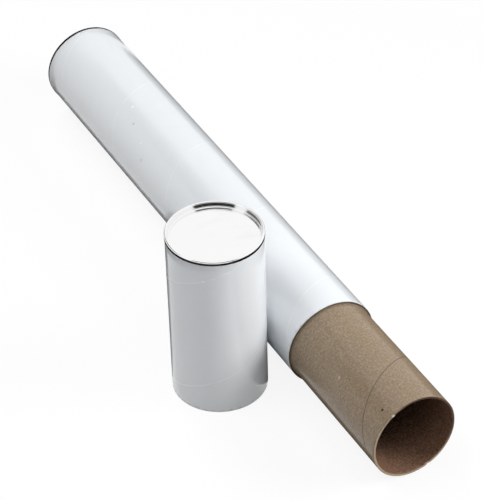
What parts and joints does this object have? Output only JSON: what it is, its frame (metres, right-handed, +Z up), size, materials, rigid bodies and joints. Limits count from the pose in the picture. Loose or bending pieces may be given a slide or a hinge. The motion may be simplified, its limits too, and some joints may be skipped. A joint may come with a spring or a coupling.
{
  "type": "mailing tube",
  "caption": "Round mailing tube of spirally wound board: white body with a brown liner standing out as its neck, a slip-over white cap taken off and stood beside it, and crimped metal ends.",
  "frame": {"origin": "on the ground, in the middle of the box round the lying tube and the cap that stands beside it", "axes": "+X along the tube towards its open mouth, +Z up, and the cap stands on the -Y side"},
  "size_m": [0.638, 0.171, 0.1675],
  "materials": {
    "white_board": "matt white paper outer ply on brown board",
    "kraft_board": "matt unbleached kraft board with fibre flecks",
    "tinplate": "bright tinplate, pressed and crimped"
  },
  "bodies": {
    "tube": {"body_tube": "white_board", "inner_tube": "kraft_board", "body_end": "tinplate"},
    "cap": {"cap_tube": "white_board", "cap_end": "tinplate"}
  },
  "joints": [
    {"name": "cap_lift", "type": "slide", "parent": "tube", "child": "cap", "axis": [0, 0, 1], "range_m": [0, 0.14]}
  ]
}
